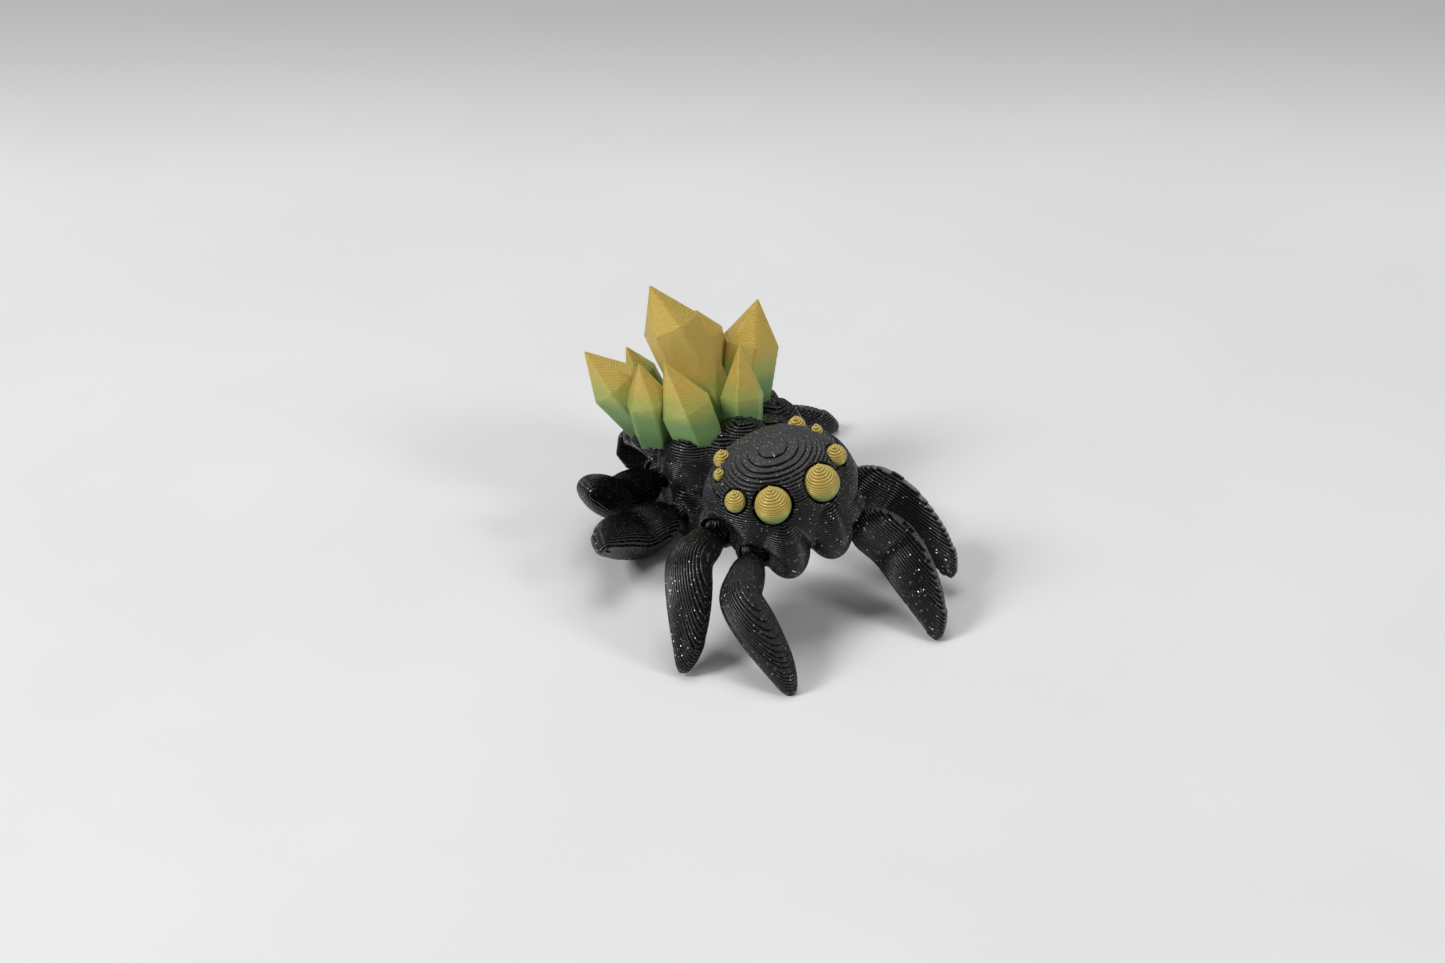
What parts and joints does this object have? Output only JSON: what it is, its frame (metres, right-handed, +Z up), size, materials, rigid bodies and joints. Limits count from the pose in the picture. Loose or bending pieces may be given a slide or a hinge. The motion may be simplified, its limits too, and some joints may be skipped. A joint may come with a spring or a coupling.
{
  "type": "posable spider figure",
  "caption": "Small posable jumping-spider figure: domed head with bead eyes, boomerang legs on ball hips, and a rocky rear body topped with pointed crystals.",
  "frame": {"origin": "centre of the rear body's flat underside", "axes": "+Z up from the table, the spider's face looks along -Y, its left side is +X"},
  "size_m": [0.0427, 0.0592, 0.0298],
  "materials": {
    "black_glitter_plastic": "satin",
    "gold_green_plastic": "satin"
  },
  "bodies": {
    "rear_body": {"rear_body": "black_glitter_plastic", "crystal_tall": "gold_green_plastic", "crystal_left": "gold_green_plastic", "crystal_front_left": "gold_green_plastic", "crystal_front": "gold_green_plastic", "crystal_right": "gold_green_plastic", "crystal_front_right": "gold_green_plastic", "crystal_rear_right": "gold_green_plastic", "crystal_middle": "gold_green_plastic"},
    "neck_link": {"neck_link": "black_glitter_plastic"},
    "head": {"head": "black_glitter_plastic", "right_front_large_eye": "gold_green_plastic", "right_front_small_eye": "gold_green_plastic", "right_side_tiny_eye": "gold_green_plastic", "right_rear_small_eye": "gold_green_plastic", "left_front_large_eye": "gold_green_plastic", "left_front_small_eye": "gold_green_plastic", "left_side_tiny_eye": "gold_green_plastic", "left_rear_small_eye": "gold_green_plastic"},
    "left_leg_1": {"left_leg_1": "black_glitter_plastic"},
    "left_leg_2": {"left_leg_2": "black_glitter_plastic"},
    "left_leg_3": {"left_leg_3": "black_glitter_plastic"},
    "left_leg_4": {"left_leg_4": "black_glitter_plastic"},
    "right_leg_1": {"right_leg_1": "black_glitter_plastic"},
    "right_leg_2": {"right_leg_2": "black_glitter_plastic"},
    "right_leg_3": {"right_leg_3": "black_glitter_plastic"},
    "right_leg_4": {"right_leg_4": "black_glitter_plastic"}
  },
  "joints": [
    {"name": "neck_turn", "type": "hinge", "parent": "rear_body", "child": "neck_link", "pos_m": [0.0001, -0.0104, 0.0088], "axis": [0, 0, 1], "range_deg": [-8, 8]},
    {"name": "neck_nod", "type": "hinge", "parent": "neck_link", "child": "head", "pos_m": [0.0003, -0.0174, 0.0122], "axis": [1, 0, 0], "range_deg": [-8, 6]},
    {"name": "left_leg_1_swing", "type": "hinge", "parent": "head", "child": "left_leg_1", "pos_m": [0.00733, -0.02651, 0.0135], "axis": [0.2064, 0.2071, -0.9563], "range_deg": [-10, 10]},
    {"name": "left_leg_2_swing", "type": "hinge", "parent": "head", "child": "left_leg_2", "pos_m": [0.00829, -0.02123, 0.01485], "axis": [0.2064, 0.2071, -0.9563], "range_deg": [-10, 10]},
    {"name": "left_leg_3_swing", "type": "hinge", "parent": "rear_body", "child": "left_leg_3", "pos_m": [0.0054, -0.006, 0.0046], "axis": [0, 0, -1], "range_deg": [-10, 10]},
    {"name": "left_leg_4_swing", "type": "hinge", "parent": "rear_body", "child": "left_leg_4", "pos_m": [0.0056, 0.0032, 0.0044], "axis": [0, 0, -1], "range_deg": [-10, 10]},
    {"name": "right_leg_1_swing", "type": "hinge", "parent": "head", "child": "right_leg_1", "pos_m": [-0.00358, -0.02783, 0.01086], "axis": [-0.2064, -0.2071, 0.9563], "range_deg": [-3, 10]},
    {"name": "right_leg_2_swing", "type": "hinge", "parent": "head", "child": "right_leg_2", "pos_m": [-0.0064, -0.02306, 0.01139], "axis": [-0.2064, -0.2071, 0.9563], "range_deg": [-10, 3]},
    {"name": "right_leg_3_swing", "type": "hinge", "parent": "rear_body", "child": "right_leg_3", "pos_m": [-0.0054, -0.006, 0.0046], "axis": [0, 0, 1], "range_deg": [-3, 10]},
    {"name": "right_leg_4_swing", "type": "hinge", "parent": "rear_body", "child": "right_leg_4", "pos_m": [-0.0056, 0.0032, 0.0044], "axis": [0, 0, 1], "range_deg": [-10, 3]}
  ]
}
